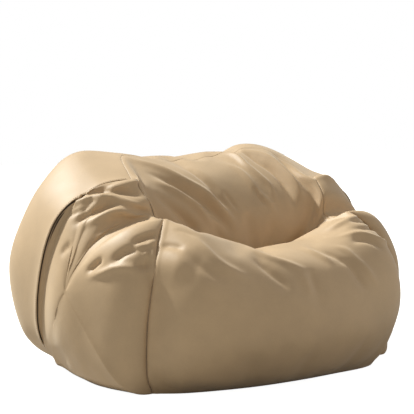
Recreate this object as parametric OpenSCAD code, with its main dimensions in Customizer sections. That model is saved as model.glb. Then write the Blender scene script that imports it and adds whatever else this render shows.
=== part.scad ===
// Bean bag chair: a low, wide lounger with a raised backrest roll, a front
// roll and two full arms. A sewn outer cover closes with a zip low on the
// back, and holds a bead-filled inner liner with a zip of its own.
// The front faces -Y, +Z is up, and the base panel lies on Z = 0.

/* [Overall shape] */
// Width multiplier of the whole bag
width_k = 1; // [0.9:0.05:1.1]
// Depth multiplier of the whole bag
depth_k = 1; // [0.9:0.05:1.1]
// Height multiplier of the whole bag
height_k = 1; // [0.9:0.05:1.1]
// How far the right shoulder sags below the left one, mm
right_sag = 60; // [0:10:90]

/* [Cover] */
// Thickness of the cover fabric, mm
cover_t = 1.5; // [1.2:0.1:2]
// Thickness of the base panel, mm
base_t = 1.5; // [1:0.5:2]

/* [Inner liner] */
// Distance from the cover's face to the liner's face, mm
liner_gap = 9; // [8:0.5:10]
// Thickness of the liner fabric, mm
liner_t = 0.6; // [0.5:0.1:0.8]
// Distance from the cover's face to the bead fill, mm
fill_gap = 16; // [15:1:20]

/* [Cover zip] */
// Half the length of the cover zip's chain, mm
zip_half = 250; // [200:10:260]
// Pitch of the cover zip's teeth, mm
zip_pitch = 5; // [4:1:8]
// Length of the pull tab, mm
pull_l = 36; // [25:1:40]

/* [Liner zip] */
// Half the length of the liner zip's chain, mm
liner_zip_half = 180; // [120:10:250]
// Pitch of the liner zip's teeth, mm
liner_zip_pitch = 4; // [4:1:8]

/* [Care label] */
// Width of the sewn label, mm
label_w = 45; // [30:5:50]
// Height of the sewn label, mm
label_h = 40; // [30:5:45]

/* [Hidden] */

NV = 3;          // steps between two rows of the profile
NU = 3;          // steps between two points across a row
NW = 6;          // rings of a side panel
ZIP_V = 14 * NV; // the zip runs along row 14
LAST_V = 16 * NV;
LAST_U = 6 * NU;
yz = 455;        // plane of the back at the zip, before centring
zc = 260;        // height of both zips
flat_x = 400;    // the back is flat this far out beside the zip
pull_gap = 0.4;

fabric = [0.76, 0.65, 0.50];
lining = [0.93, 0.93, 0.90];
tape_c = [0.55, 0.46, 0.35];
metal = [0.60, 0.58, 0.54];

// Rows of the sewn profile, from the front edge of the base, over the front
// roll, down into the seat crease, up and over the backrest and down the back.
// Each row: mid Y, mid Z, shoulder X, Y, Z, side seam X, Y, Z.
rows = [
  [-340,   0, 350, -290,   0, 430, -220,   0],
  [-420,  50, 370, -350,  60, 450, -240,  60],
  [-470, 170, 380, -390, 190, 460, -260, 200],
  [-450, 290, 360, -390, 320, 440, -260, 340],
  [-370, 380, 330, -330, 420, 400, -220, 450],
  [-260, 410, 280, -240, 470, 360, -170, 500],
  [-150, 390, 250, -140, 450, 330, -110, 490],
  [ -70, 320, 240,  -70, 380, 320,  -60, 490],
  [ -60, 390, 250,  -50, 430, 330,  -40, 540],
  [ -10, 510, 260,  -10, 540, 340,    0, 580],
  [  80, 610, 260,   90, 620, 340,   20, 600],
  [ 220, 650, 290,  210, 670, 360,   50, 600],
  [ 360, 650, 400,  330, 680, 470,   80, 590],
  [ 450, 520, 520,  370, 560, 580,  110, 490],
  [ 470, 260, 600,  400, 310, 610,  170, 290],
  [ 440,  90, 580,  370, 110, 590,  200, 110],
  [ 370,   0, 490,  320,   0, 510,  200,   0]];
base_edge = [[530, 90, 0], [510, -90, 0]];
side_mid = [590, 0, 280];

function lerp(a, b, t) = a + (b - a) * t;
function clamp(t) = min(1, max(0, t));
function unit(v) = v / max(norm(v), 1e-6);
function mir(p) = [-p.x, p.y, p.z];
function blend(a, b, c, d, t) =
  0.5 * (2 * b + (c - a) * t + (2 * a - 5 * b + 4 * c - d) * t * t
         + (3 * b - a - 3 * c + d) * t * t * t);
function at(P, i) = i < 0 ? 2 * P[0] - P[1]
  : i >= len(P) ? 2 * P[len(P) - 1] - P[len(P) - 2] : P[i];
function curve(P, n) = [
  for (i = [0:len(P) - 2]) for (j = [0:n - 1])
    blend(at(P, i - 1), P[i], P[i + 1], at(P, i + 2), j / n),
  P[len(P) - 1]];

row_v = curve(rows, NV);

// The back is drawn flat beside the zip, and the right shoulder sags.
function settle(p, v) =
  let (m = abs(v - ZIP_V) > 1 ? 0 : clamp((500 - abs(p.x)) / (500 - flat_x)),
       z0 = row_v[v][1] + (v == ZIP_V ? zc - row_v[v][1] : 0),
       q = [p.x, lerp(p.y, yz, m), max(0, lerp(p.z, z0, m))])
  sag(q);
function sag(q) = let (d = right_sag * pow(q.z / 600, 2) * pow(max(q.x, 0) / 600, 2))
  [q.x * width_k, q.y * depth_k, (q.z - (q.y > 400 && abs(q.x) < flat_x ? 0 : d)) * height_k];

function section(v) =
  let (r = row_v[v], m = [0, r[0], r[1]], b = [r[2], r[3], r[4]], s = [r[5], r[6], r[7]],
       a = [0.48 * b.x, lerp(m.y, b.y, 0.22), lerp(m.z, b.z, 0.22)])
  [for (p = curve([mir(s), mir(b), mir(a), m, a, b, s], NU)) settle(p, v)];
band0 = [for (v = [0:LAST_V]) section(v)];

// Loop round a side panel: up the seam and back along the base edge.
function side_loop(s) =
  let (seam = [for (v = [0:LAST_V]) band0[v][s < 0 ? 0 : LAST_U]],
       k = [s * width_k, depth_k, 1],
       e = curve([seam[LAST_V], [for (i = [0:2]) base_edge[0][i] * k[i]],
                  [for (i = [0:2]) base_edge[1][i] * k[i]], seam[0]], NV))
  concat(seam, [for (i = [1:len(e) - 2]) [e[i].x, e[i].y, 0]]);
function side_rings(s) =
  let (L = side_loop(s), c = sag([s * side_mid.x, side_mid.y, side_mid.z]))
  [for (j = [0:NW]) let (t = j / NW,
       r = pow(1 - t, 3) + 3 * pow(1 - t, 2) * t + 1.9 * (1 - t) * t * t,
       x = 2.4 * pow(1 - t, 2) * t + 3 * (1 - t) * t * t + pow(t, 3))
    [for (p = L) [lerp(p.x, c.x, x), lerp(c.y, p.y, r), lerp(c.z, p.z, r)]]];
left0 = side_rings(-1);
right0 = side_rings(1);
LOOP = len(left0[0]);

// Outward normals, averaged across the side seams.
function band_n(v, u) = unit(cross(
  band0[v][min(u + 1, LAST_U)] - band0[v][max(u - 1, 0)],
  band0[min(v + 1, LAST_V)][u] - band0[max(v - 1, 0)][u]));
function ring_n(G, s, j, i) = unit(-s * cross(
  G[j][(i + 1) % LOOP] - G[j][(i + LOOP - 1) % LOOP],
  G[min(j + 1, NW - 1)][i] - G[max(j - 1, 0)][i]));
function flat_n(n, z) = z < 0.01 ? unit([n.x, n.y, 0]) : n;
ln = [for (j = [0:NW - 1]) [for (i = [0:LOOP - 1]) ring_n(left0, -1, j, i)]];
rn = [for (j = [0:NW - 1]) [for (i = [0:LOOP - 1]) ring_n(right0, 1, j, i)]];
bn = [for (v = [0:LAST_V]) [for (u = [0:LAST_U])
  flat_n(unit(band_n(v, u) + (u == 0 ? ln[0][v] : u == LAST_U ? rn[0][v] : [0, 0, 0])),
         band0[v][u].z)]];

y_all = [for (r = band0) for (p = r) p.y];
y_mid = (max(y_all) + min(y_all)) / 2;
function inset(p, n, d, zb) = p.z < 0.01 ? [p.x - n.x * d, p.y - n.y * d - y_mid, zb]
  : [p.x, p.y - y_mid, p.z] - n * d;

// The bag's surface at depth d, standing at height zb.
function band(d, zb, v0, v1) = [for (v = [v0:v1]) [for (u = [0:LAST_U])
  inset(band0[v][u], bn[v][u], d, zb)]];
function rings(s, d, zb) = let (G = s < 0 ? left0 : right0, N = s < 0 ? ln : rn)
  [for (j = [0:NW - 1]) [for (i = [0:LOOP - 1])
    inset(G[j][i], j == 0 && i <= LAST_V ? bn[i][s < 0 ? 0 : LAST_U]
                   : flat_n(N[j][i], G[j][i].z), d, zb)]];
function tip(s, d) = (s < 0 ? left0 : right0)[NW][0] - [s * d, y_mid, 0];

function flatten(G) = [for (r = G) for (p = r) p];
function quads(nr, nc, o, wrap) = [for (r = [0:nr - 2]) for (c = [0:nc - (wrap ? 1 : 2)])
  let (a = o + r * nc + c, b = o + r * nc + (c + 1) % nc) each [[a, b, b + nc], [a, b + nc, a + nc]]];
function closed(a) = concat(a, [a[0]]);
function rev(F) = [for (f = F) [for (i = [len(f) - 1:-1:0]) f[i]]];
function strip(A, B) = [for (i = [0:len(A) - 2])
  each [[A[i], A[i + 1], B[i + 1]], [A[i], B[i + 1], B[i]]]];

// A sewn panel: a grid of points outside, one inside, and four edges.
module sheet(O, I) {
  nr = len(O); nc = len(O[0]); k = nr * nc;
  r0 = [for (c = [0:nc - 1]) c];
  r1 = [for (c = [0:nc - 1]) (nr - 1) * nc + c];
  c0 = [for (r = [0:nr - 1]) r * nc];
  c1 = [for (r = [0:nr - 1]) r * nc + nc - 1];
  polyhedron(concat(flatten(O), flatten(I)), concat(
    rev(quads(nr, nc, 0, false)), quads(nr, nc, k, false),
    strip(r0, r0 + [for (c = r0) k]), rev(strip(r1, r1 + [for (c = r1) k])),
    rev(strip(c0, c0 + [for (c = c0) k])), strip(c1, c1 + [for (c = c1) k])));
}
// A side panel: rings closed on themselves round a middle point.
module gusset(s, d, t, zb) {
  O = rings(s, d, zb); I = rings(s, d + t, zb); k = NW * LOOP;
  l = (NW - 1) * LOOP;
  loop = [for (i = [0:LOOP]) i % LOOP];
  F = concat(
    quads(NW, LOOP, 0, true),
    [for (i = [0:LOOP - 1]) [l + i, l + (i + 1) % LOOP, 2 * k]],
    rev(quads(NW, LOOP, k, true)),
    [for (i = [0:LOOP - 1]) [k + l + (i + 1) % LOOP, k + l + i, 2 * k + 1]],
    rev(strip(loop, loop + [for (i = loop) k])));
  polyhedron(concat(flatten(O), flatten(I), [tip(s, d), tip(s, d + t)]), s < 0 ? rev(F) : F);
}
// One edge of a back panel, opened by g either side of the zip.
function opened(G, row, g, half) = [for (r = [0:len(G) - 1]) r != row ? G[r]
  : [for (p = G[r]) [p.x, p.y, p.z + g * clamp((flat_x * width_k * 0.9 - abs(p.x)) / 80)]]];
module plate(d, t, z0) {
  front = band(d, 0, 0, 0)[0]; back = band(d, 0, LAST_V, LAST_V)[0];
  r = rings(1, d, 0)[0]; l = rings(-1, d, 0)[0];
  outline = concat(front, [for (i = [LOOP - 1:-1:LAST_V + 1]) r[i]],
    [for (i = [LAST_U:-1:0]) back[i]], [for (i = [LAST_V + 1:LOOP - 1]) l[i]]);
  translate([0, 0, z0]) linear_extrude(t) polygon([for (p = outline) [p.x, p.y]]);
}

// Zip chain: a tape along one side, and its row of teeth.
yo = yz * depth_k - y_mid; // back face of the cover at the zip
zo = zc * height_k;
module tape(y, half, z0, w, s) translate([-half, y - 0.4, s > 0 ? zo + z0 : zo - z0 - w]) cube([2 * half, 0.8, w]);
module teeth(y, half, pitch, s, z0, z1, z2, t) {
  n = floor(2 * half / pitch);
  comb = concat([[-half, z2], [-half, z1]], [for (i = [0:n - 1]) let (x = -half + (i + (s > 0 ? 0.1 : 0.5)) * pitch)
    each [[x, z1], [x, z0], [x + 0.4 * pitch, z0], [x + 0.4 * pitch, z1]]], [[half, z1], [half, z2]]);
  translate([0, y + t / 2, zo]) rotate([90, 0, 0]) linear_extrude(t) polygon([for (p = comb) [p[0], s * p[1]]]);
}
module stops(y, half, h, t) for (s = [-1, 1])
  translate([s > 0 ? half : -half - 4, y - t / 2, zo - h]) cube([4, t, 2 * h]);
module slider_body(x, y, w, h, t, gap) {
  for (s = [-1, 1]) translate([x - w / 2, s > 0 ? y + gap : y - gap - t, zo - h]) cube([w, t, 2 * h]);
  translate([x - w / 4, y - gap, zo - 0.6]) cube([w / 2, 2 * gap, 1.2]);
}

yt = yo - cover_t - 0.6;                     // middle of the cover zip's chain
yl = yo - liner_gap - liner_t - 0.6;         // middle of the liner zip's chain
slide_x = zip_half - 10;
bar_y = yt + 2.9 + 2.6;

module cover_front_panel() color(fabric) sheet(band(0, 0, 0, 7 * NV), band(cover_t, 0, 0, 7 * NV));
module cover_backrest_panel() color(fabric) sheet(band(0, 0, 7 * NV, 11 * NV), band(cover_t, 0, 7 * NV, 11 * NV));
module cover_back_upper_panel() color(fabric) sheet(
  opened(band(0, 0, 11 * NV, ZIP_V), 3 * NV, 8, zip_half), opened(band(cover_t, 0, 11 * NV, ZIP_V), 3 * NV, 8, zip_half));
module cover_back_lower_panel() color(fabric) sheet(
  opened(band(0, 0, ZIP_V, LAST_V), 0, -8, zip_half), opened(band(cover_t, 0, ZIP_V, LAST_V), 0, -8, zip_half));
module cover_left_side_panel() color(fabric) gusset(-1, 0, cover_t, 0);
module cover_right_side_panel() color(fabric) gusset(1, 0, cover_t, 0);
module cover_base_panel() color(fabric) plate(cover_t + 0.2, base_t, 0);

module cover_zip_upper_tape() color(tape_c) tape(yt, zip_half + 90, 4, 20, 1);
module cover_zip_lower_tape() color(tape_c) tape(yt, zip_half + 90, 4, 20, -1);
module cover_zip_upper_teeth() color(tape_c) teeth(yt, zip_half, zip_pitch, 1, 1, 3, 4, 2.4);
module cover_zip_lower_teeth() color(tape_c) teeth(yt, zip_half, zip_pitch, -1, 1, 3, 4, 2.4);
module cover_zip_end_stops() color(metal) stops(yt, zip_half, 3.9, 2.4);
module cover_zip_slider() color(metal) {
  slider_body(slide_x, yt, 14, 5.6, 1.4, 1.5);
  for (s = [-1, 1]) translate([slide_x - 1.8, yt + 2.9, zo + (s > 0 ? 3.6 : -5)]) cube([3.6, 4.4, 1.4]);
  translate([slide_x, bar_y, zo - 3.6]) cylinder(h = 7.2, r = 1, $fn = 24);
}
module cover_zip_pull_tab() color(metal) {
  difference() {
    union() {
      translate([slide_x, bar_y, zo - 3]) cylinder(h = 6, r = 2.2, $fn = 32);
      translate([slide_x - 8, bar_y - 0.7, zo - 3]) cube([8, 1.4, 6]);
    }
    translate([slide_x, bar_y, zo - 4]) cylinder(h = 8, r = 1.4, $fn = 32);
  }
  translate([slide_x - pull_l, bar_y - 0.7, zo - 4.5]) cube([pull_l - 8, 1.4, 9]);
}
module care_label() color([0.95, 0.95, 0.93])
  translate([-zip_half - 90, yo, zo - 20 - label_h]) cube([label_w, 0.6, label_h]);

module inner_liner_front_panel() color(lining) sheet(
  opened(band(liner_gap, 2.6, 0, ZIP_V), ZIP_V, 6, liner_zip_half),
  opened(band(liner_gap + liner_t, 2.6, 0, ZIP_V), ZIP_V, 6, liner_zip_half));
module inner_liner_back_panel() color(lining) sheet(
  opened(band(liner_gap, 2.6, ZIP_V, LAST_V), 0, -6, liner_zip_half),
  opened(band(liner_gap + liner_t, 2.6, ZIP_V, LAST_V), 0, -6, liner_zip_half));
module inner_liner_left_side() color(lining) gusset(-1, liner_gap, liner_t, 2.6);
module inner_liner_right_side() color(lining) gusset(1, liner_gap, liner_t, 2.6);
module inner_liner_base_panel() color(lining) plate(liner_gap + liner_t + 0.2, 0.6, 2.6);
module liner_zip_tapes() color(lining) { tape(yl, liner_zip_half + 20, 3.2, 14, 1); tape(yl, liner_zip_half + 20, 3.2, 14, -1); }
module liner_zip_teeth() color([0.85, 0.85, 0.82]) for (s = [-1, 1])
  teeth(yl, liner_zip_half, liner_zip_pitch, s, 0.9, 2.4, 3.2, 1.6);
module liner_zip_end_stops() color(metal) stops(yl, liner_zip_half, 3, 1.6);
module liner_zip_slider() color(metal) slider_body(liner_zip_half - 8, yl, 10, 4.4, 0.9, 1);

// The beads settle into one mass that fills the liner.
module bead_fill() color([0.97, 0.97, 0.96]) {
  B = band(fill_gap, 4, 0, LAST_V);
  nb = (LAST_V + 1) * (LAST_U + 1); nc = LAST_U + 1;
  L = rings(-1, fill_gap, 4); R = rings(1, fill_gap, 4);
  Li = [for (j = [1:NW - 1]) L[j]]; Ri = [for (j = [1:NW - 1]) R[j]];
  e = LOOP - LAST_V - 1;
  k = (NW - 1) * LOOP;
  oe = nb; oL = nb + 2 * e; oR = oL + k;
  l0 = concat([for (v = [0:LAST_V]) v * nc], [for (i = [0:e - 1]) oe + i]);
  r0 = concat([for (v = [0:LAST_V]) v * nc + LAST_U], [for (i = [0:e - 1]) oe + e + i]);
  l1 = [for (i = [0:LOOP - 1]) oL + i]; r1 = [for (i = [0:LOOP - 1]) oR + i];
  lt = oL + (NW - 2) * LOOP; rt = oR + (NW - 2) * LOOP; tl = oR + k; tr = tl + 1;
  base = concat([for (u = [0:LAST_U]) u], [for (i = [e - 1:-1:0]) oe + e + i],
    [for (u = [LAST_U:-1:0]) LAST_V * nc + u], [for (i = [0:e - 1]) oe + i]);
  polyhedron(concat(flatten(B),
      [for (i = [LAST_V + 1:LOOP - 1]) L[0][i]], [for (i = [LAST_V + 1:LOOP - 1]) R[0][i]],
      flatten(Li), flatten(Ri), [tip(-1, fill_gap), tip(1, fill_gap)]),
    concat(rev(quads(LAST_V + 1, nc, 0, false)),
      rev(strip(closed(l0), closed(l1))), rev(quads(NW - 1, LOOP, oL, true)),
      [for (i = [0:LOOP - 1]) [lt + (i + 1) % LOOP, lt + i, tl]],
      strip(closed(r0), closed(r1)), quads(NW - 1, LOOP, oR, true),
      [for (i = [0:LOOP - 1]) [rt + i, rt + (i + 1) % LOOP, tr]],
      [base]));
}

cover_front_panel();
cover_backrest_panel();
cover_back_upper_panel();
cover_back_lower_panel();
cover_left_side_panel();
cover_right_side_panel();
cover_base_panel();
cover_zip_upper_tape();
cover_zip_lower_tape();
cover_zip_upper_teeth();
cover_zip_lower_teeth();
cover_zip_end_stops();
cover_zip_slider();
cover_zip_pull_tab();
care_label();
inner_liner_front_panel();
inner_liner_back_panel();
inner_liner_left_side();
inner_liner_right_side();
inner_liner_base_panel();
liner_zip_tapes();
liner_zip_teeth();
liner_zip_end_stops();
liner_zip_slider();
bead_fill();
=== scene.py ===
import math
import bpy
import bmesh
import numpy as np
from mathutils import Vector, Matrix
from mathutils.bvhtree import BVHTree


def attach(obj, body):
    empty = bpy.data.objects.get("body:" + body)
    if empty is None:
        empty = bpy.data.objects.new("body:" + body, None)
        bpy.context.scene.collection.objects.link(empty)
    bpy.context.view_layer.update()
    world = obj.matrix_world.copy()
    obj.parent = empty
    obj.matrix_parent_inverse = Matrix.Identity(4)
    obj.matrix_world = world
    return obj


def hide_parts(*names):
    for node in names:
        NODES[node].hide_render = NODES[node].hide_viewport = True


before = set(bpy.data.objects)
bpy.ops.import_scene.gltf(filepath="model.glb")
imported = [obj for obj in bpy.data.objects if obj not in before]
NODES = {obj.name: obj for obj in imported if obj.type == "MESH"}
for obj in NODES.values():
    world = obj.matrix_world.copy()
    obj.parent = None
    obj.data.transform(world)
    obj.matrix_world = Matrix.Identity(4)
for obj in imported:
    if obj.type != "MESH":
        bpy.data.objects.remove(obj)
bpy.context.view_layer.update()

scene = bpy.context.scene

# ---------------------------------------------------------------- the bag's rows
# Control rows of the sewn profile in millimetres: mid Y, mid Z, then the
# shoulder's and the side seam's X, Y, Z, on the left and on the right.
TL = np.array([
    [-334, 0, 333, -281, 0, 430, -230, 0],
    [-417, 49, 361, -348, 61, 456, -241, 64],
    [-470, 167, 377, -390, 190, 465, -259, 203],
    [-451, 284, 360, -391, 319, 445, -259, 340],
    [-373, 372, 331, -332, 418, 403, -220, 448],
    [-264, 401, 282, -243, 469, 359, -173, 498],
    [-157, 383, 251, -143, 449, 330, -113, 492],
    [-76, 316, 241, -72, 379, 321, -64, 497],
    [-62, 387, 250, -50, 430, 333, -44, 544],
    [-5, 507, 258, -7, 540, 344, -3, 581],
    [94, 605, 255, 96, 618, 338, 13, 604],
    [244, 642, 282, 219, 665, 349, 37, 606],
    [388, 643, 386, 338, 677, 460, 66, 586],
    [469, 516, 507, 376, 560, 579, 102, 486],
    [480, 259, 599, 410, 329, 614, 167, 293],
    [443, 91, 570, 372, 117, 589, 198, 110],
    [366, 0, 478, 319, 0, 507, 200, 0],
], float)
TR = np.array([
    [-334, 0, 326, -308, 0, 423, -211, 0],
    [-417, 49, 356, -352, 67, 450, -239, 68],
    [-470, 167, 376, -390, 188, 463, -262, 201],
    [-451, 284, 359, -389, 313, 444, -261, 331],
    [-373, 372, 332, -330, 409, 403, -219, 432],
    [-264, 401, 283, -242, 459, 362, -170, 481],
    [-157, 383, 254, -143, 439, 332, -115, 459],
    [-76, 316, 243, -72, 372, 325, -69, 470],
    [-62, 387, 251, -51, 423, 335, -51, 526],
    [-5, 507, 257, -8, 532, 342, -5, 565],
    [94, 605, 250, 97, 616, 343, 16, 582],
    [244, 642, 270, 223, 670, 368, 39, 575],
    [388, 643, 374, 346, 665, 479, 69, 556],
    [469, 516, 503, 381, 532, 588, 101, 457],
    [480, 259, 592, 406, 301, 615, 165, 279],
    [443, 91, 575, 372, 111, 591, 198, 109],
    [366, 0, 485, 319, 0, 508, 201, 0],
], float)
# side panels: two base edge points, the middle, and how full they are
SL = [517, 88, 515, -80, 579, -1, 280, 0.72, 0.00, 0.63]
SR = [530, 90, 510, -90, 568, -16, 257, 0.50, -0.07, 0.68]
YM = 3.52
YO = 458.5      # face of the back beside the zip
ZC = 260.0      # height of the zip
AZ, EL, DIST, FOC = -34.17, 8.50, 3.8288, 1179.7
YAW, PITCH = -32.955, 5.920

NV, NU, NW = 16, 20, 44
LV = 16 * NV
LU = 6 * NU


def catmull(P, n):
    P = np.asarray(P, float)
    Q = np.concatenate([[2 * P[0] - P[1]], P, [2 * P[-1] - P[-2]]])
    t = (np.arange(n) / n).reshape((-1,) + (1,) * (P.ndim - 1))
    out = []
    for k in range(len(P) - 1):
        a, b, c, d = (Q[k + i][None] for i in range(4))
        out.append(0.5 * (2 * b + (c - a) * t + (2 * a - 5 * b + 4 * c - d) * t ** 2 + (3 * b - a - 3 * c + d) * t ** 3))
    return np.concatenate(out + [P[-1:]])


def smooth01(x):
    x = np.clip(x, 0, 1)
    return x * x * (3 - 2 * x)


def flank(T, s):
    m = np.stack([0 * T[:, 0], T[:, 0], T[:, 1]], 1)
    B, S = T[:, 2:5], T[:, 5:8]
    A = np.stack([0.48 * B[:, 0], m[:, 1] + (B[:, 1] - m[:, 1]) * 0.22, m[:, 2] + (B[:, 2] - m[:, 2]) * 0.22], 1)
    k = np.array([s, 1, 1])
    return m, A * k, B * k, S * k


def make_band():
    m, al, bl, sl = flank(TL, -1)
    _, ar, br, sr = flank(TR, 1)
    G = catmull(np.stack([sl, bl, al, m, ar, br, sr], 0), NU)
    G = np.moveaxis(catmull(np.moveaxis(G, 1, 0), NV), 0, 1)   # u, v, xyz
    G = np.moveaxis(G, 0, 1)                                    # v, u, xyz
    G[..., 1] += YM
    # the back lies flat beside the zip
    v = np.arange(LV + 1)[:, None]
    wv = 1 - smooth01((np.abs(v - 14 * NV) / NV - 0.34) / 0.6)
    wx = smooth01((500 - np.abs(G[..., 0])) / 120)
    w = wv * wx
    zm = G[:, LU // 2, 2][:, None] + (ZC - G[14 * NV, LU // 2, 2]) * (1 - smooth01(np.abs(v - 14 * NV) / NV))
    G[..., 1] += w * (YO - G[..., 1])
    G[..., 2] += w * (zm - G[..., 2])
    G[..., 2] = np.maximum(G[..., 2], 0)
    return G


def make_cap(seam, s, sd):
    b = np.array([[s * sd[0], sd[1] + YM, 0], [s * sd[2], sd[3] + YM, 0]])
    C = np.array([s * sd[4], sd[5] + YM, sd[6]])
    k1, k2, k3 = sd[7:10]
    e = catmull(np.vstack([seam[-1], b, seam[0]]), NV)[1:-1]
    e[:, 2] = 0
    loop = np.vstack([seam, e])
    t = np.linspace(0, 1, NW + 1)[:, None]
    r = (1 - t) ** 3 + 3 * (1 - t) ** 2 * t * (1 - k2) + 3 * (1 - t) * t * t * k3
    X = 3 * (1 - t) ** 2 * t * k1 + 3 * (1 - t) * t * t + t ** 3
    c = np.zeros((NW + 1, len(loop), 3))
    c[..., 0] = loop[None, :, 0] + (C[0] - loop[None, :, 0]) * X
    c[..., 1] = C[1] + (loop[None, :, 1] - C[1]) * r
    c[..., 2] = C[2] + (loop[None, :, 2] - C[2]) * r
    return c


# ---------------------------------------------------------------- one welded surface
band = make_band()
capL = make_cap(band[:, 0], -1, SL)
capR = make_cap(band[:, LU], 1, SR)
LOOP = capL.shape[1]
EDGE = LOOP - LV - 1
nb = (LV + 1) * (LU + 1)
bidx = np.arange(nb).reshape(LV + 1, LU + 1)
verts = [band.reshape(-1, 3)]
off = nb


def cap_index(cap, col):
    global off
    idx = np.zeros((NW, LOOP), int)
    idx[0, :LV + 1] = bidx[:, col]
    idx[0, LV + 1:] = off + np.arange(EDGE)
    verts.append(cap[0, LV + 1:]); off += EDGE
    idx[1:] = off + np.arange((NW - 1) * LOOP).reshape(NW - 1, LOOP)
    verts.append(cap[1:NW].reshape(-1, 3)); off += (NW - 1) * LOOP
    tip = off
    verts.append(cap[NW, :1]); off += 1
    return idx, tip


idxL, tipL = cap_index(capL, 0)
idxR, tipR = cap_index(capR, LU)


def quads(idx, flip, wrap=False):
    if wrap:
        idx = np.hstack([idx, idx[:, :1]])
    a, b, c, d = idx[:-1, :-1], idx[:-1, 1:], idx[1:, 1:], idx[1:, :-1]
    q = np.stack([a, b, c, d] if not flip else [a, d, c, b], -1).reshape(-1, 4)
    return q


FACES, PANEL = [], []
PN = ["front", "backrest", "back_upper", "back_lower", "left", "right"]
cuts = [0, 7 * NV, 11 * NV, 14 * NV, 16 * NV]
for k in range(4):
    q = quads(bidx[cuts[k]:cuts[k + 1] + 1], False)
    FACES += q.tolist(); PANEL += [k] * len(q)
for idx, tip, flip, k in ((idxL, tipL, False, 4), (idxR, tipR, True, 5)):
    q = quads(idx, flip, True)
    FACES += q.tolist(); PANEL += [k] * len(q)
    last = idx[-1]
    for i in range(LOOP):
        a, b = int(last[i]), int(last[(i + 1) % LOOP])
        FACES.append([a, b, tip] if not flip else [b, a, tip]); PANEL.append(k)
PANEL = np.array(PANEL)
V = np.vstack(verts)
N = len(V)
TRI = np.array([t for f in FACES for t in ([f[:3], [f[0], f[2], f[3]]] if len(f) == 4 else [f])])
e = np.vstack([TRI[:, [0, 1]], TRI[:, [1, 2]], TRI[:, [2, 0]]])
e = np.unique(np.sort(e, 1), axis=0)
EA, EB = e[:, 0], e[:, 1]
DEG = np.bincount(EA, minlength=N) + np.bincount(EB, minlength=N)


def normals(P):
    a, b, c = P[TRI[:, 0]], P[TRI[:, 1]], P[TRI[:, 2]]
    fn = np.cross(b - a, c - a)
    n = np.zeros_like(P)
    for k in range(3):
        for j in range(3):
            n[:, j] += np.bincount(TRI[:, k], weights=fn[:, j], minlength=N)
    return n / (np.linalg.norm(n, axis=1, keepdims=True) + 1e-12)


def laplace(X, times, lam=0.5, weight=None):
    X = X.copy()
    one = X.ndim == 1
    if one:
        X = X[:, None]
    for _ in range(times):
        S = np.stack([np.bincount(EA, weights=X[EB, j], minlength=N) + np.bincount(EB, weights=X[EA, j], minlength=N)
                      for j in range(X.shape[1])], 1) / DEG[:, None]
        d = lam * (S - X)
        X += d if weight is None else d * weight[:, None]
    return X[:, 0] if one else X


side_id = np.zeros(N, int)
side_id[np.unique(idxL[1:])] = 1
side_id[np.unique(idxR[1:])] = 1
side_id[[tipL, tipR]] = 1
side_id[idxL[0, LV + 1:]] = 2
side_id[idxR[0, LV + 1:]] = 2
BASE = V[:, 2] < 0.01
W_SIDE = (side_id == 1).astype(float)
# the star of lines that the rings leave in a side panel is rubbed out
V[:, 0] = laplace(V[:, 0], 500, 0.5, W_SIDE)


def calm_tips(n, P):
    """Steady the normals round the middle of each side panel."""
    n = n.copy()
    for tip in (tipL, tipR):
        d = np.where(side_id == 1, np.linalg.norm(P - P[tip], axis=1), 1e9)
        m = n[(d > 60) & (d < 130)].mean(0)
        w = (1 - smooth01((d - 25) / 90))[:, None]
        n = n * (1 - w) + m / np.linalg.norm(m) * w
    return n / (np.linalg.norm(n, axis=1, keepdims=True) + 1e-12)


Nn = calm_tips(normals(V), V)
# check the sense of the surface
FLIPPED = (Nn * (V - V.mean(0))).sum() < 0
if FLIPPED:
    FACES = [f[::-1] for f in FACES]
    TRI = TRI[:, ::-1]
    Nn = -Nn

# ---------------------------------------------------------------- camera
back = Vector((math.sin(math.radians(YAW)) * math.cos(math.radians(PITCH)),
               -math.cos(math.radians(YAW)) * math.cos(math.radians(PITCH)), math.sin(math.radians(PITCH))))
azr, elr = math.radians(AZ), math.radians(EL)
cam_pos = Vector((0, 0, 0.33)) + Vector((math.sin(azr) * math.cos(elr), -math.cos(azr) * math.cos(elr), math.sin(elr))) * DIST
cd = bpy.data.cameras.new("camera")
cam = bpy.data.objects.new("camera", cd)
scene.collection.objects.link(cam)
cd.sensor_fit = "HORIZONTAL"
cd.sensor_width = 36
cd.lens = FOC * 36 / 414
cam.location = cam_pos
cam.rotation_euler = (-back).to_track_quat("-Z", "Y").to_euler()
scene.camera = cam
CP = np.array(cam_pos) * 1000
CB = np.array(back)
CR = np.array([math.cos(math.radians(YAW)), math.sin(math.radians(YAW)), 0.0])
CU = np.cross(CB, CR)


def ray_dir(x, y):
    d = CR * (x - 207) / FOC - CU * (y - 207) / FOC - CB
    return d / np.linalg.norm(d)


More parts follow.
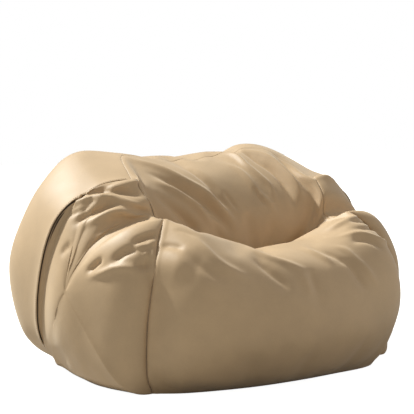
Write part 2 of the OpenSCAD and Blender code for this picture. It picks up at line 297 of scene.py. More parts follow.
# ---------------------------------------------------------------- the cover as cloth
def simulate():
    """The whole cover as one cloth with a little spare fabric, under pressure
    from the beads. Every second point of the grid; returns its wrinkles."""
    grids = [bidx[::2, ::2], idxL[::2, ::2], idxR[::2, ::2]]
    F = quads(grids[0], False).tolist()
    for g, tip, fl in ((grids[1], tipL, False), (grids[2], tipR, True)):
        F += quads(g, fl, True).tolist()
        last = g[-1]
        for i in range(len(last)):
            a, b = int(last[i]), int(last[(i + 1) % len(last)])
            F.append([a, b, tip] if not fl else [b, a, tip])
    used = np.unique(np.concatenate([g.ravel() for g in grids] + [[tipL, tipR]]))
    back_ = np.full(N, -1); back_[used] = np.arange(len(used))
    F = [[int(back_[i]) for i in f] for f in F]
    if FLIPPED:
        F = [f[::-1] for f in F]
    P0 = (V[used] + DISP[used, None] * Nn[used]) / 1000
    me = bpy.data.meshes.new("cloth_work")
    me.from_pydata(P0.tolist(), [], F)
    ob = bpy.data.objects.new("cloth_work", me)
    scene.collection.objects.link(ob)
    g = ob.vertex_groups.new(name="hold")
    hold = np.full(N, 0.10)
    hold[V[:, 2] < 12] = 1
    hold = np.maximum(hold, ZIPW)
    cleft = np.zeros(N, bool); cleft[bidx[int(6.7 * NV):int(7.5 * NV)].ravel()] = True
    hold[cleft] = np.maximum(hold[cleft], 0.6)
    for i, v in enumerate(used):
        g.add([i], float(hold[v]), "REPLACE")
    m = ob.modifiers.new("cloth", "CLOTH")
    s = m.settings
    s.quality = 4
    s.mass = 0.4
    s.tension_stiffness = 25; s.compression_stiffness = 25; s.shear_stiffness = 8; s.bending_stiffness = 6
    s.tension_damping = 15; s.compression_damping = 15; s.shear_damping = 10; s.air_damping = 4
    s.vertex_group_mass = "hold"
    s.pin_stiffness = 3.0
    s.use_pressure = True
    s.uniform_pressure_force = 1.2
    s.shrink_min = -0.045
    s.effector_weights.gravity = 0
    m.collision_settings.use_collision = False
    m.collision_settings.use_self_collision = False
    m.point_cache.frame_start = 1; m.point_cache.frame_end = 18
    for f in range(1, 19):
        scene.frame_set(f)
    dg = bpy.context.evaluated_depsgraph_get()
    ev = ob.evaluated_get(dg).to_mesh()
    Q = np.zeros(len(used) * 3)
    ev.vertices.foreach_get("co", Q)
    Q = Q.reshape(-1, 3) * 1000
    ob.evaluated_get(dg).to_mesh_clear()
    bpy.data.objects.remove(ob)
    bpy.data.meshes.remove(me)
    scene.frame_set(1)
    D = np.zeros((N, 3))
    D[used] = Q - P0 * 1000
    # fill in the points between
    for g, wrap in ((bidx, False), (idxL, True), (idxR, True)):
        r, c = g.shape
        ev_r = np.arange(0, r, 2); ev_c = np.arange(0, c, 2)
        for i in ev_r:
            for j in range(1, c, 2):
                j2 = (j + 1) % c if wrap else min(j + 1, c - 1)
                D[g[i, j]] = (D[g[i, j - 1]] + D[g[i, j2]]) / 2
        for i in range(1, r, 2):
            if i + 1 < r:
                D[g[i]] = (D[g[i - 1]] + D[g[i + 1]]) / 2
            else:
                D[g[i]] = D[g[i - 1]]
    D = laplace(D, 2)
    low = laplace(D, 260, 0.6)
    H = D - low
    d = (H * Nn).sum(1)
    return d, D


# ---------------------------------------------------------------- sculpted folds
DISP = np.zeros(N)
x_, y_, z_ = V.T
ZIPW = smooth01((430 - np.abs(x_)) / 60) * smooth01((y_ - 300) / 80) * smooth01((z_ - 120) / 50) * smooth01((400 - z_) / 60)
TREE = BVHTree.FromPolygons([tuple(p) for p in V], FACES)


def on_bag(pts, n=5):
    out = []
    for x, y in catmull(np.array(pts, float), n):
        h = TREE.ray_cast(Vector(CP), Vector(ray_dir(x, y)))
        if h[0] is not None:
            out.append(list(h[0]))
    return np.array(out)


def stroke(pts, depth, width, taper=0.35, skew=0.0, end=0.35):
    """A fold along a line on the bag: depth in mm, up (+) or down (-)."""
    L = on_bag(pts)
    if len(L) < 2:
        return
    seg = np.linalg.norm(np.diff(L, axis=0), axis=1)
    S = np.concatenate([[0], np.cumsum(seg)])
    lo, hi = L.min(0) - 3 * width, L.max(0) + 3 * width
    sel = np.where(((V > lo) & (V < hi)).all(1))[0]
    if not len(sel):
        return
    best = np.full(len(sel), 1e9); tb = np.zeros(len(sel)); wb = np.zeros(len(sel))
    for k in range(len(L) - 1):
        a, b = L[k], L[k + 1]
        ab = b - a
        t = np.clip(((V[sel] - a) @ ab) / (ab @ ab + 1e-9), 0, 1)
        q = V[sel] - (a + t[:, None] * ab)
        d = np.linalg.norm(q, axis=1)
        near = d < best
        best[near] = d[near]; tb[near] = (S[k] + t * seg[k])[near]
    c = L[len(L) // 2]
    i0 = sel[np.argmin(((V[sel] - c) ** 2).sum(1))]
    same = smooth01((Nn[sel] @ Nn[i0]) * 1.6)
    f = tb / S[-1]
    a = smooth01(f / taper) * smooth01((1 - f) / end)
    DISP[sel] += depth * a * same * np.exp(-(best / width) ** 2)


# backrest: long folds running down from the top left to the right
stroke([(148, 178), (166, 186), (182, 196), (196, 206), (207, 219), (217, 233)], 12.15, 14)
stroke([(141, 188), (162, 199), (179, 213), (193, 227), (204, 238)], -14.85, 18)
stroke([(141, 170), (162, 178), (183, 189), (199, 199), (213, 210), (227, 227), (232, 241)], -13.5, 13)
stroke([(120, 158), (144, 164), (166, 172), (187, 183), (204, 193), (218, 206), (231, 219), (239, 233)], 13.5, 15)
stroke([(176, 164), (193, 171), (210, 185), (218, 196), (227, 207), (239, 224)], -10.8, 14)
stroke([(222, 190), (232, 203), (239, 213)], -6.75, 6)
stroke([(252, 186), (260, 199), (266, 207)], -6.75, 6)
stroke([(218, 155), (236, 160), (246, 167), (257, 175), (269, 186), (274, 196), (278, 210)], 12.15, 12)
stroke([(224, 164), (239, 171), (250, 182), (260, 195), (271, 206), (276, 219)], 8.1, 12)
stroke([(229, 152.6), (246, 155), (260, 162), (274, 171), (286, 185), (293, 200), (295, 218)], -14.85, 14)
stroke([(239, 151.2), (255, 153), (270, 160), (284, 171), (295, 183), (302, 196), (307, 210)], 13.5, 13)
stroke([(267, 153.6), (286, 164), (301, 179), (312, 193), (316, 207)], -9.45, 13)
# left side panel: folds gathered towards the crease
stroke([(76, 203), (92, 191), (116, 190), (140, 196), (148, 201)], -13, 13)
stroke([(60, 220), (73, 206), (88, 199), (109, 197), (122, 201), (138, 206), (151, 204)], 10, 10)
stroke([(72, 228), (80, 221), (90, 214), (100, 210), (112, 205), (124, 206)], -15, 11)
stroke([(65, 218), (80, 212), (96, 205)], -5, 7)
stroke([(79, 228), (92, 223), (106, 216), (119, 212), (132, 216), (144, 219), (161, 221)], 13, 12)
stroke([(128, 204), (138, 209), (150, 213)], -5, 6)
stroke([(65, 258), (69, 250), (76, 244)], -7, 12)
stroke([(90, 246), (96, 239), (109, 230), (124, 220)], 5, 9)
stroke([(89, 273), (96, 265), (104, 258)], -12, 10, 0.3, 0, 0.3)
stroke([(131, 246), (138, 240), (150, 236), (161, 234)], -13, 9)
stroke([(130, 247), (144, 246), (158, 241)], 6, 5)
stroke([(111, 266), (119, 256), (131, 250), (142, 250)], -12, 13)
stroke([(134, 265), (144, 266), (153, 262)], -9, 9)
stroke([(142, 256), (150, 253)], 9, 9, 0.5, 0, 0.5)
stroke([(87, 279), (103, 273), (116, 268), (130, 268), (138, 272), (153, 269)], 8, 11)
# front panel: broad folds below the crest
stroke([(186, 235), (199, 244), (218, 262), (238, 274), (258, 281)], 9, 14)
stroke([(172, 243), (185, 253), (203, 268), (222, 279), (240, 287)], -7, 15)
stroke([(148, 262), (165, 262), (180, 264), (198, 270)], 14, 50, 0.1, 0, 0.4)
stroke([(158, 247), (172, 247), (186, 250)], -7, 12)
stroke([(248, 248), (264, 256), (284, 263), (303, 270), (314, 272)], 8, 12)
stroke([(253, 257), (264, 266), (272, 273), (284, 283), (290, 294)], -8, 13)
stroke([(303, 248), (323, 257), (336, 266)], 6, 12)
stroke([(322, 251), (338, 258), (348, 266)], -5, 10)
stroke([(171, 229), (186, 233), (200, 240)], -3, 7)
# right arm: folds fanning out from the end of the crease
stroke([(321, 232), (336, 226), (350, 220), (358, 214)], 8, 12)
stroke([(345, 224), (359, 221), (372, 225)], -8, 8)
stroke([(345, 231), (359, 229), (373, 229), (384, 233)], -8, 8)
stroke([(330, 238), (344, 236), (359, 234), (373, 237), (385, 243), (395, 250)], 9, 9)
stroke([(350, 245), (360, 240), (374, 243), (386, 252)], -9, 12)
stroke([(328, 246), (344, 250), (354, 258), (364, 267), (373, 278), (378, 288)], 8, 11)
stroke([(338, 257), (351, 266), (360, 279), (368, 291)], -8, 13)
stroke([(299, 270), (308, 284), (313, 298)], 5, 16)
stroke([(309, 268), (314, 282), (317, 296)], -5, 14)
wr, drift = simulate()
wr = np.clip(wr, -18, 18)
print("cloth: points moved up to %.1f mm, wrinkles %.1f to %.1f mm" % (
    np.linalg.norm(drift, axis=1).max(), wr.min(), wr.max()))
calm = np.where(side_id == 1, 0.35, 0.9)
for tip in (tipL, tipR):
    calm *= np.where(side_id == 1, smooth01(np.linalg.norm(V - V[tip], axis=1) / 260 - 0.2), 1)
calm *= 0.35 + 0.65 * smooth01((z_ - 30) / 200)
calm = laplace(calm, 40)
DISP += wr * calm
for idx, tip, full in ((idxL, tipL, 42), (idxR, tipR, 18)):
    g = full * np.exp(-((y_ - 40) / 120) ** 2 - ((z_ - 250) / 190) ** 2)
    for j in range(1, NW):
        d = np.linalg.norm(V[idx[j]] - V[idx[0]], axis=1)
        DISP[idx[j]] += g[idx[j]] * (1 - np.exp(-d / 22))
    DISP[tip] += g[tip]
DISP *= (1 - ZIPW) * smooth01(z_ / 30)
FINAL = V + Nn * DISP[:, None]
# small moves of the outline, across the line of sight: place, move, reach
MOVES = [(8, 275, 4, 0, 55), (20, 215, 1.5, 1, 30), (48, 178, 1.5, 1.5, 25), (100, 150, 1, 2.5, 28),
         (229, 150, 0, -3.5, 16), (325, 176, 2.5, -2.5, 10),
         (398, 325, -2.5, 0, 30), (53, 364, 3.5, -2.5, 14)]
rel = FINAL - CP
dep = -(rel @ CB)
px_, py_ = 207 + FOC * (rel @ CR) / dep, 207 - FOC * (rel @ CU) / dep
for mx_, my_, dx_, dy_, reach in MOVES:
    w = np.exp(-((px_ - mx_) ** 2 + (py_ - my_) ** 2) / reach ** 2) * (1 - ZIPW)
    FINAL += (w * dep / FOC)[:, None] * (CR * dx_ - CU * dy_)
FINAL[:, 2] = np.maximum(FINAL[:, 2], 0)
FINAL[BASE, 2] = 0
NF = calm_tips(normals(FINAL), FINAL)
BASE_P = laplace(FINAL, 45, 0.5, 1 - ZIPW)
BASE_P[BASE] = FINAL[BASE]


def zip_weight(P):
    return ZIPW


def open_zip(P, g, x0, x1, upper):
    row = bidx[14 * NV]
    P[row, 2] += (1 if upper else -1) * g * np.clip((x1 - np.abs(P[row, 0])) / (x1 - x0), 0, 1)


ROW = np.arange(LOOP) / NV            # row number round a side panel's loop
LAP = smooth01((ROW - 10.93) / 0.12) * (ROW <= 16.01)
GAP = np.interp(ROW, [10.9, 11.1, 12, 13, 14, 15, 16], [1.6, 3.2, 3.4, 2.8, 2.4, 2.8, 3.2]) * LAP


def side_frame(idx):
    seam = FINAL[idx[0]]
    d = FINAL[idx[4]] - seam
    return seam, d / (np.linalg.norm(d, axis=1, keepdims=True) + 1e-9)


def panel_points(k):
    P = FINAL.copy()
    if k in (4, 5):
        idx = idxL if k == 4 else idxR
        gap = GAP if k == 4 else GAP * 0.2
        seam, dr = side_frame(idx)
        for j in range(14):
            d = np.linalg.norm(FINAL[idx[j]] - seam, axis=1)
            sink = LAP * (3.2 if k == 4 else 2.2) * np.exp(-(d / 16) ** 2) + (1 - LAP) * 2.6 * np.exp(-(d / 5) ** 2)
            P[idx[j]] += dr * (gap * np.exp(-(d / 30) ** 2))[:, None] - NF[idx[j]] * sink[:, None]
    else:
        for idx, c in ((bidx, 0), (bidx[:, ::-1], 1)):
            seam = FINAL[idx[:, 0]]
            row = np.arange(LV + 1) / NV
            lap = smooth01((row - 11) / 0.4)
            for j in range(24):
                d = np.linalg.norm(FINAL[idx[:, j]] - seam, axis=1)
                if k >= 2:
                    up = lap * 2.4 * np.exp(-(d / 14) ** 2)
                else:
                    up = -(2.4 if k == 0 else 1.2) * np.exp(-(d / 5) ** 2)
                    if k == 0:
                        up += 1.8 * np.exp(-((d - 10) / 5) ** 2)
                P[idx[:, j]] += NF[idx[:, j]] * up[:, None]
        for r0, deep in ((7, 2.2), (11, 0.9)):
            seam = FINAL[bidx[r0 * NV]]
            for r in range(r0 * NV - 5, r0 * NV + 6):
                d = np.linalg.norm(FINAL[bidx[r]] - seam, axis=1)
                P[bidx[r]] -= NF[bidx[r]] * (deep * np.exp(-(d / 6) ** 2))[:, None]
        if k in (2, 3):
            open_zip(P, 8.0, 266, 296, k == 2)
    P[:, 2] = np.maximum(P[:, 2], 0)
    P[BASE, 2] = 0
    return P


# ---------------------------------------------------------------- materials
def new_mat(name):
    m = bpy.data.materials.new(name)
    m.use_nodes = True
    nt = m.node_tree
    nt.nodes.clear()
    out = nt.nodes.new("ShaderNodeOutputMaterial")
    bs = nt.nodes.new("ShaderNodeBsdfPrincipled")
    nt.links.new(bs.outputs[0], out.inputs[0])
    return m, nt, bs


def leatherette():
    m, nt, bs = new_mat("leatherette")
    N_, L_ = nt.nodes, nt.links
    tc = N_.new("ShaderNodeTexCoord")

    def noise(scale, detail=4, rough=0.55, src=None):
        n = N_.new("ShaderNodeTexNoise")
        n.inputs["Scale"].default_value = scale
        n.inputs["Detail"].default_value = detail
        n.inputs["Roughness"].default_value = rough
        L_.new((src or tc).outputs["Object"] if src is None else src, n.inputs["Vector"])
        return n
    big, mid, fine = noise(2.3, 3), noise(18, 5), noise(240, 3)
    vor = N_.new("ShaderNodeTexVoronoi")
    vor.feature = "DISTANCE_TO_EDGE"
    vor.inputs["Scale"].default_value = 420
    L_.new(tc.outputs["Object"], vor.inputs["Vector"])
    ramp = N_.new("ShaderNodeValToRGB")
    ramp.color_ramp.elements[0].position = 0.3
    ramp.color_ramp.elements[0].color = (*[c * 0.90 for c in SKIN], 1)
    ramp.color_ramp.elements[1].position = 0.72
    ramp.color_ramp.elements[1].color = (*[min(1, c * 1.07) for c in SKIN], 1)
    mx = N_.new("ShaderNodeMix"); mx.data_type = "FLOAT"
    mx.inputs[0].default_value = 0.4
    L_.new(big.outputs["Fac"], mx.inputs[2]); L_.new(mid.outputs["Fac"], mx.inputs[3])
    L_.new(mx.outputs[0], ramp.inputs[0])
    grain = N_.new("ShaderNodeMix"); grain.data_type = "RGBA"; grain.blend_type = "MULTIPLY"
    gr = N_.new("ShaderNodeMapRange")
    gr.inputs["From Min"].default_value = 0.0; gr.inputs["From Max"].default_value = 0.12
    gr.inputs["To Min"].default_value = 0.86; gr.inputs["To Max"].default_value = 1.0
    L_.new(vor.outputs["Distance"], gr.inputs["Value"])
    grain.inputs[0].default_value = 0.6
    L_.new(ramp.outputs[0], grain.inputs[6]); L_.new(gr.outputs[0], grain.inputs[7])
    L_.new(grain.outputs[2], bs.inputs["Base Color"])
    rr = N_.new("ShaderNodeMapRange")
    rr.inputs["To Min"].default_value = 0.46; rr.inputs["To Max"].default_value = 0.62
    L_.new(mid.outputs["Fac"], rr.inputs["Value"])
    L_.new(rr.outputs[0], bs.inputs["Roughness"])
    b1 = N_.new("ShaderNodeBump"); b1.inputs["Strength"].default_value = 0.18; b1.inputs["Distance"].default_value = 0.0008
    L_.new(vor.outputs["Distance"], b1.inputs["Height"])
    b2 = N_.new("ShaderNodeBump"); b2.inputs["Strength"].default_value = 0.25; b2.inputs["Distance"].default_value = 0.003
    L_.new(mid.outputs["Fac"], b2.inputs["Height"]); L_.new(b1.outputs[0], b2.inputs["Normal"])
    L_.new(b2.outputs[0], bs.inputs["Normal"])
    bs.inputs["Specular IOR Level"].default_value = 0.35
    bs.inputs["Sheen Weight"].default_value = 0.25
    bs.inputs["Sheen Roughness"].default_value = 0.5
    bs.inputs["Sheen Tint"].default_value = (1.0, 0.9, 0.75, 1)
    return m


def woven(name, col, scale=900, rough=0.8, contrast=0.25):
    m, nt, bs = new_mat(name)
    N_, L_ = nt.nodes, nt.links
    tc = N_.new("ShaderNodeTexCoord")
    w1 = N_.new("ShaderNodeTexWave"); w1.bands_direction = "X"; w1.inputs["Scale"].default_value = scale / 6
    w2 = N_.new("ShaderNodeTexWave"); w2.bands_direction = "Z"; w2.inputs["Scale"].default_value = scale / 6
    n = N_.new("ShaderNodeTexNoise"); n.inputs["Scale"].default_value = 30
    for w in (w1, w2):
        w.inputs["Distortion"].default_value = 0.4
        L_.new(tc.outputs["Object"], w.inputs["Vector"])
    L_.new(tc.outputs["Object"], n.inputs["Vector"])
    mul = N_.new("ShaderNodeMath"); mul.operation = "MULTIPLY"
    L_.new(w1.outputs["Fac"], mul.inputs[0]); L_.new(w2.outputs["Fac"], mul.inputs[1])
    add = N_.new("ShaderNodeMath"); add.operation = "ADD"
    L_.new(mul.outputs[0], add.inputs[0]); L_.new(n.outputs["Fac"], add.inputs[1])
    ramp = N_.new("ShaderNodeValToRGB")
    ramp.color_ramp.elements[0].position = 0.3
    ramp.color_ramp.elements[0].color = (*[c * (1 - contrast) for c in col], 1)
    ramp.color_ramp.elements[1].position = 1.3 if False else 1.0
    ramp.color_ramp.elements[1].color = (*[min(1, c * 1.08) for c in col], 1)
    L_.new(add.outputs[0], ramp.inputs[0])
    L_.new(ramp.outputs[0], bs.inputs["Base Color"])
    b = N_.new("ShaderNodeBump"); b.inputs["Strength"].default_value = 0.4; b.inputs["Distance"].default_value = 0.0006
    L_.new(mul.outputs[0], b.inputs["Height"]); L_.new(b.outputs[0], bs.inputs["Normal"])
    bs.inputs["Roughness"].default_value = rough
    bs.inputs["Specular IOR Level"].default_value = 0.3
    bs.inputs["Sheen Weight"].default_value = 0.2
    return m


def metal(name, col, rough=0.35):
    m, nt, bs = new_mat(name)
    N_, L_ = nt.nodes, nt.links
    tc = N_.new("ShaderNodeTexCoord")
    mp = N_.new("ShaderNodeMapping"); mp.inputs["Scale"].default_value = (20, 400, 400)
    n = N_.new("ShaderNodeTexNoise"); n.inputs["Scale"].default_value = 6; n.inputs["Detail"].default_value = 6
    L_.new(tc.outputs["Object"], mp.inputs[0]); L_.new(mp.outputs[0], n.inputs["Vector"])
    r = N_.new("ShaderNodeMapRange"); r.inputs["To Min"].default_value = rough - 0.1; r.inputs["To Max"].default_value = rough + 0.15
    L_.new(n.outputs["Fac"], r.inputs["Value"]); L_.new(r.outputs[0], bs.inputs["Roughness"])
    c = N_.new("ShaderNodeValToRGB")
    c.color_ramp.elements[0].color = (*[x * 0.85 for x in col], 1); c.color_ramp.elements[1].color = (*col, 1)
    L_.new(n.outputs["Fac"], c.inputs[0]); L_.new(c.outputs[0], bs.inputs["Base Color"])
    b = N_.new("ShaderNodeBump"); b.inputs["Strength"].default_value = 0.1; b.inputs["Distance"].default_value = 0.0002
    L_.new(n.outputs["Fac"], b.inputs["Height"]); L_.new(b.outputs[0], bs.inputs["Normal"])
    bs.inputs["Metallic"].default_value = 1.0
    return m


def plastic(name, col, rough=0.45, scale=60):
    m, nt, bs = new_mat(name)
    N_, L_ = nt.nodes, nt.links
    tc = N_.new("ShaderNodeTexCoord")
    n = N_.new("ShaderNodeTexNoise"); n.inputs["Scale"].default_value = scale; n.inputs["Detail"].default_value = 5
    L_.new(tc.outputs["Object"], n.inputs["Vector"])
    c = N_.new("ShaderNodeValToRGB")
    c.color_ramp.elements[0].color = (*[x * 0.88 for x in col], 1); c.color_ramp.elements[1].color = (*[min(1, x * 1.05) for x in col], 1)
    L_.new(n.outputs["Fac"], c.inputs[0]); L_.new(c.outputs[0], bs.inputs["Base Color"])
    r = N_.new("ShaderNodeMapRange"); r.inputs["To Min"].default_value = rough - 0.08; r.inputs["To Max"].default_value = rough + 0.1
    L_.new(n.outputs["Fac"], r.inputs["Value"]); L_.new(r.outputs[0], bs.inputs["Roughness"])
    b = N_.new("ShaderNodeBump"); b.inputs["Strength"].default_value = 0.15; b.inputs["Distance"].default_value = 0.0004
    L_.new(n.outputs["Fac"], b.inputs["Height"]); L_.new(b.outputs[0], bs.inputs["Normal"])
    return m


SKIN = (0.53, 0.365, 0.205)
M_SKIN = leatherette()
# the allowance colour is near-black: painted shade for the shadowed gap under the lapped seams
M_ALLOW_SHADE = woven("seam_allowance_painted_shade", (0.06, 0.04, 0.025), 1200)
M_TAPE = woven("zip_tape", (0.24, 0.17, 0.10), 1400)
M_LINER = woven("liner_cloth", (0.80, 0.79, 0.74), 900, 0.85, 0.12)
M_LABEL = woven("label_satin", (0.86, 0.86, 0.84), 2200, 0.45, 0.08)
M_THREAD = woven("thread", (0.30, 0.21, 0.13), 2600, 0.7)
M_METAL = metal("zip_metal", (0.50, 0.47, 0.42))
M_TEETH = plastic("zip_teeth", (0.23, 0.165, 0.10), 0.4, 200)
M_LTEETH = plastic("liner_teeth", (0.80, 0.80, 0.77), 0.45, 200)
M_BEADS = plastic("beads", (0.9, 0.9, 0.88), 0.7, 300)


# ---------------------------------------------------------------- panels
def mesh_object(name, P, faces, mat, thick=0.0, subdiv=1, smooth=True):
    me = bpy.data.meshes.new(name)
    me.from_pydata((np.asarray(P) / 1000).tolist(), [], [list(map(int, f)) for f in faces])
    me.validate()
    if smooth:
        me.polygons.foreach_set("use_smooth", [True] * len(me.polygons))
    ob = bpy.data.objects.new(name, me)
    scene.collection.objects.link(ob)
    me.materials.append(mat)
    if subdiv:
        m = ob.modifiers.new("subdivision", "SUBSURF"); m.levels = m.render_levels = subdiv
        m.boundary_smooth = "PRESERVE_CORNERS"
    if thick:
        m = ob.modifiers.new("thickness", "SOLIDIFY"); m.thickness = thick; m.offset = -1; m.use_even_offset = False
        m.use_rim = True
    return ob


def panel_object(name, k, P, mat, **kw):
    fs = [FACES[i] for i in np.where(PANEL == k)[0]]
    used = sorted({v for f in fs for v in f})
    remap = {v: i for i, v in enumerate(used)}
    return mesh_object(name, P[used], [[remap[v] for v in f] for f in fs], mat, **kw)


SUB = 1
NAMES = ["cover_front_panel", "cover_backrest_panel", "cover_back_upper_panel", "cover_back_lower_panel",
         "cover_left_side_panel", "cover_right_side_panel"]
def back_object():
    """Both back panels, joined beyond the ends of the zip and open along it."""
    P = panel_points(2)
    fu = [FACES[i] for i in np.where(PANEL == 2)[0]]
    fl = [FACES[i] for i in np.where(PANEL == 3)[0]]
    slit = [int(i) for i in bidx[14 * NV] if abs(P[i, 0]) < 359]
    twin = {v: N + i for i, v in enumerate(slit)}
    Q = np.vstack([P, panel_points(3)[slit]])
    fs = fu + [[twin.get(v, v) for v in f] for f in fl]
    used = sorted({v for f in fs for v in f})
    remap = {v: i for i, v in enumerate(used)}
    return mesh_object("skin_back", Q[used], [[remap[v] for v in f] for f in fs], M_SKIN, thick=0.0016, subdiv=SUB)


for k, n in enumerate(NAMES):
    if k == 3:
        continue
    if k == 2:
        ob = back_object()
        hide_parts("cover_back_upper_panel", "cover_back_lower_panel")
    else:
        ob = panel_object("skin_" + n, k, panel_points(k), M_SKIN, thick=0.0016, subdiv=SUB if k < 4 else 0)
        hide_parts(n)
    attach(ob, "bag")
    a = 0.0
    for p in ob.data.polygons:
        a += p.area

# the turned-in allowance under each lapped seam; its near-black colour is painted shade for the shadowed gap between
# the lapping edge and the sunk side panel, not the fabric's own colour
for idx, name, gap in ((idxL, "left", GAP), (idxR, "right", GAP * 0.2)):
    seam, dr = side_frame(idx)
    rows_ = np.arange(11 * NV, LV + 1)
    S_, D_, N_, g_ = seam[rows_], dr[rows_], NF[idx[0]][rows_], gap[rows_][:, None]
    cols = [S_ - D_ * 9 - N_ * 7, S_ - D_ * 2 - N_ * 6.5, S_ + D_ * (g_ + 1) - N_ * 9.5, S_ + D_ * (g_ + 10) - N_ * 11]
    P = np.stack(cols, 1)
    P[..., 2] = np.maximum(P[..., 2], 0.5)
    m_ = len(rows_)
    F = [[i * 4 + j, i * 4 + j + 1, i * 4 + j + 5, i * 4 + j + 4] for i in range(m_ - 1) for j in range(3)]
    ob = mesh_object("seam_allowance_painted_shade_" + name, P.reshape(-1, 3), F, M_ALLOW_SHADE, thick=0.0012, subdiv=0)
    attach(ob, "bag")

def stitches(name, line, nrm, step=7.0, length=4.6, r=0.5):
    """A row of thread stitches along a line on the cover."""
    line = np.asarray(line); seg = np.linalg.norm(np.diff(line, axis=0), axis=1)
    S = np.concatenate([[0], np.cumsum(seg)])
    P, F = [], []
    for c in np.arange(step, S[-1] - step, step):
        a, b, n = [np.array([np.interp(q, S, A[:, j]) for j in range(3)]) for q, A in ((c - length / 2, line), (c + length / 2, line), (c, nrm))]
        t = (b - a) / (np.linalg.norm(b - a) + 1e-9)
        s_ = np.cross(n, t); o = len(P)
        for f, w in ((0, 0.25), (0.15, 0.9), (0.5, 1.0), (0.85, 0.9), (1, 0.25)):
            m = a + (b - a) * f + n * r * (0.2 + 0.8 * math.sin(math.pi * f))
            for q in range(6):
                an = q * math.pi / 3
                P.append(m + (s_ * math.cos(an) + n * math.sin(an)) * r * w)
        for i in range(4):
            for q in range(6):
                F.append([o + i * 6 + q, o + i * 6 + (q + 1) % 6, o + i * 6 + 6 + (q + 1) % 6, o + i * 6 + 6 + q])
        F += [[o + q for q in range(5, -1, -1)], [o + 24 + q for q in range(6)]]
    ob = mesh_object(name, np.array(P), F, M_THREAD, subdiv=0)
    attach(ob, "bag")


PB = panel_points(2)
NB = normals(PB)
for col, name in ((1, "left"), (-1, "right")):
    L_, M_ = [], []
    for r in range(11 * NV + 2, 16 * NV - 1):
        g = bidx[r] if col > 0 else bidx[r][::-1]
        q = PB[g[:30]]
        d = np.concatenate([[0], np.cumsum(np.linalg.norm(np.diff(q, axis=0), axis=1))])
        L_.append([np.interp(8.0, d, q[:, j]) for j in range(3)])
        n = NB[g[3]]
        M_.append(n)
    stitches("seam_stitches_" + name, L_, np.array(M_))
for s_ in (1, -1):
    x = np.linspace(-345, 345, 60)
    stitches("zip_stitches_" + ("upper" if s_ > 0 else "lower"), np.stack([x, 0 * x + YO, ZC + s_ * 18 + 0 * x], 1),
             np.tile([0.0, 1.0, 0.0], (60, 1)), 5.0, 3.4, 0.4)

# base panel, from the edge the other panels leave on the floor
front = [int(i) for i in bidx[0]]
right = [int(i) for i in idxR[0, LV + 1:][::-1]]
rear = [int(i) for i in bidx[LV][::-1]]
left = [int(i) for i in idxL[0, LV + 1:]]
ring = front + right + rear + left
RB = FINAL[ring].copy(); RB[:, 2] = 0
c0 = RB[:, :2].mean(0)
rings_ = []
for j, s in enumerate(np.linspace(0.998, 0.04, 26)):
    q = RB.copy(); q[:, :2] = c0 + (RB[:, :2] - c0) * s
    q[:, 2] = 0.0
    rings_.append(q)
P = np.vstack(rings_ + [np.array([[c0[0], c0[1], 0.0]])])
n_ = len(ring)
F = []
for j in range(25):
    for i in range(n_):
        F.append([j * n_ + i, j * n_ + (i + 1) % n_, (j + 1) * n_ + (i + 1) % n_, (j + 1) * n_ + i][::-1])
for i in range(n_):
    F.append([25 * n_ + (i + 1) % n_, 25 * n_ + i, 26 * n_])
base = mesh_object("skin_base", P, F, M_SKIN, thick=0.0015, subdiv=0)
a = sum(p.area for p in base.data.polygons)
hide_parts("cover_base_panel"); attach(base, "bag")

# ---------------------------------------------------------------- inside
INN = calm_tips(normals(BASE_P), BASE_P)
zw = zip_weight(BASE_P)


def inside(d, dz, floor):
    D = d + (dz - d) * zw
    Q = BASE_P - INN * D[:, None]
    Q[BASE] = BASE_P[BASE] - (INN[BASE] * [1, 1, 0]) * D[BASE][:, None]
    Q[:, 2] = np.maximum(Q[:, 2], floor)
    return Q


P = inside(30, 9.0, 3.0)
for k, n in ((4, "inner_liner_left_side"), (5, "inner_liner_right_side")):
    ob = panel_object("cloth_" + n, k, P, M_LINER, thick=0.0006, subdiv=0)
    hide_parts(n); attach(ob, "bag")
    a = sum(p.area for p in ob.data.polygons)


def liner_part(name, node, ks, P):
    fs = [FACES[i] for i in np.where(np.isin(PANEL, ks))[0]]
    used = sorted({v for f in fs for v in f})
    remap = {v: i for i, v in enumerate(used)}
    ob = mesh_object(name, P[used], [[remap[v] for v in f] for f in fs], M_LINER, thick=0.0006, subdiv=0)
    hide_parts(node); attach(ob, "bag")
    return ob


Pu = P.copy(); open_zip(Pu, 6.0, 190, 250, True)
liner_part("cloth_liner_front", "inner_liner_front_panel", [0, 1, 2], Pu)
Pl = P.copy(); open_zip(Pl, 6.0, 190, 250, False)
liner_part("cloth_liner_back", "inner_liner_back_panel", [3], Pl)
RB2 = P[ring].copy(); RB2[:, 2] = 3.0
c0 = RB2[:, :2].mean(0)
rings_ = []
for s in np.linspace(0.997, 0.05, 8):
    q = RB2.copy(); q[:, :2] = c0 + (RB2[:, :2] - c0) * s
    rings_.append(q)
Q = np.vstack(rings_ + [np.array([[c0[0], c0[1], 3.0]])])
F = [[j * n_ + i, (j + 1) * n_ + i, (j + 1) * n_ + (i + 1) % n_, j * n_ + (i + 1) % n_] for j in range(7) for i in range(n_)]
F += [[7 * n_ + (i + 1) % n_, 7 * n_ + i, 8 * n_] for i in range(n_)]
lb = mesh_object("cloth_liner_base", Q, F, M_LINER, thick=0.0006, subdiv=0)
a = sum(p.area for p in lb.data.polygons)
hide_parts("inner_liner_base_panel"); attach(lb, "bag")

P = inside(38, 16.5, 6.0)
F = list(FACES) + [ring[::-1]]
rr = RB.copy()
fill = mesh_object("bead_mass", P, F, M_BEADS, subdiv=0)
bm = bmesh.new(); bm.from_mesh(fill.data)
bmesh.ops.triangulate(bm, faces=[f for f in bm.faces if len(f.verts) > 4])
bmesh.ops.recalc_face_normals(bm, faces=bm.faces)
bm.to_mesh(fill.data); bm.free()
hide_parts("bead_fill"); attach(fill, "bag")

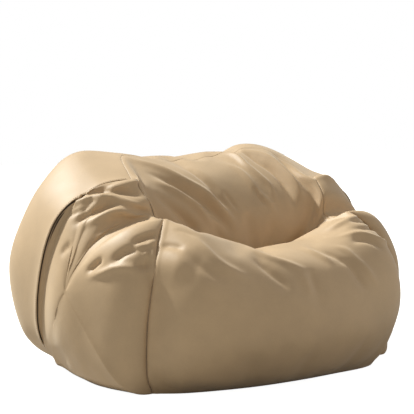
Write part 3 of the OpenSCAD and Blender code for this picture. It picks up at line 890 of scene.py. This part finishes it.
# ---------------------------------------------------------------- zips: CAD pieces, finished
def dress(node, mat, bevel=0.0):
    o = NODES[node]
    o.data.materials.clear()
    o.data.materials.append(mat)
    for p in o.data.polygons:
        p.material_index = 0
    if bevel:
        b = o.modifiers.new("bevel", "BEVEL"); b.width = bevel; b.segments = 2; b.limit_method = "ANGLE"


for n in ("cover_zip_upper_tape", "cover_zip_lower_tape"):
    dress(n, M_TAPE)
for n in ("cover_zip_upper_teeth", "cover_zip_lower_teeth"):
    dress(n, M_TEETH, 0.0002)
for n in ("cover_zip_slider", "cover_zip_pull_tab", "cover_zip_end_stops", "liner_zip_slider", "liner_zip_end_stops"):
    dress(n, M_METAL, 0.0003)
dress("liner_zip_tapes", M_LINER)
dress("liner_zip_teeth", M_LTEETH)
dress("care_label", M_LABEL)

# ---------------------------------------------------------------- stage and light
KEY = (-0.31, 0.63, 0.71)     # towards the key light
WORLD = 0.42
me = bpy.data.meshes.new("floor")
me.from_pydata([(-9, -9, 0), (9, -9, 0), (9, 9, 0), (-9, 9, 0)], [], [(0, 1, 2, 3)])
floor = bpy.data.objects.new("floor", me)
scene.collection.objects.link(floor)
fm, nt, bs = new_mat("floor_paint")
bs.inputs["Base Color"].default_value = (0.44, 0.43, 0.41, 1)
bs.inputs["Roughness"].default_value = 0.9
bs.inputs["Specular IOR Level"].default_value = 0.0
bs.inputs["Emission Color"].default_value = (1, 1, 1, 1)
lp = nt.nodes.new("ShaderNodeLightPath")
mul = nt.nodes.new("ShaderNodeMath"); mul.operation = "MULTIPLY"; mul.inputs[1].default_value = 0.95
nt.links.new(lp.outputs["Is Camera Ray"], mul.inputs[0])
nt.links.new(mul.outputs[0], bs.inputs["Emission Strength"])
me.materials.append(fm)
world = bpy.data.worlds.new("studio")
scene.world = world
world.use_nodes = True
wt = world.node_tree
bg = wt.nodes["Background"]
bg.inputs[0].default_value = (1, 1, 1, 1)
lp = wt.nodes.new("ShaderNodeLightPath")
mr = wt.nodes.new("ShaderNodeMapRange")
mr.inputs["To Min"].default_value = WORLD; mr.inputs["To Max"].default_value = 1.0
wt.links.new(lp.outputs["Is Camera Ray"], mr.inputs["Value"])
wt.links.new(mr.outputs[0], bg.inputs[1])


def sun(name, towards, strength, angle, col):
    l = bpy.data.lights.new(name, "SUN")
    l.energy = strength; l.angle = math.radians(angle); l.color = col
    o = bpy.data.objects.new(name, l)
    scene.collection.objects.link(o)
    o.location = (0, 0, 4)
    o.rotation_euler = Vector(towards).to_track_quat("Z", "Y").to_euler()


sun("key", KEY, 5.2, 5, (0.97, 1.0, 0.98))
sun("fill", (0.85, -0.50, 0.25), 0.28, 40, (1.0, 0.95, 0.88))
scene.view_settings.view_transform = "Standard"
scene.view_settings.look = "None"
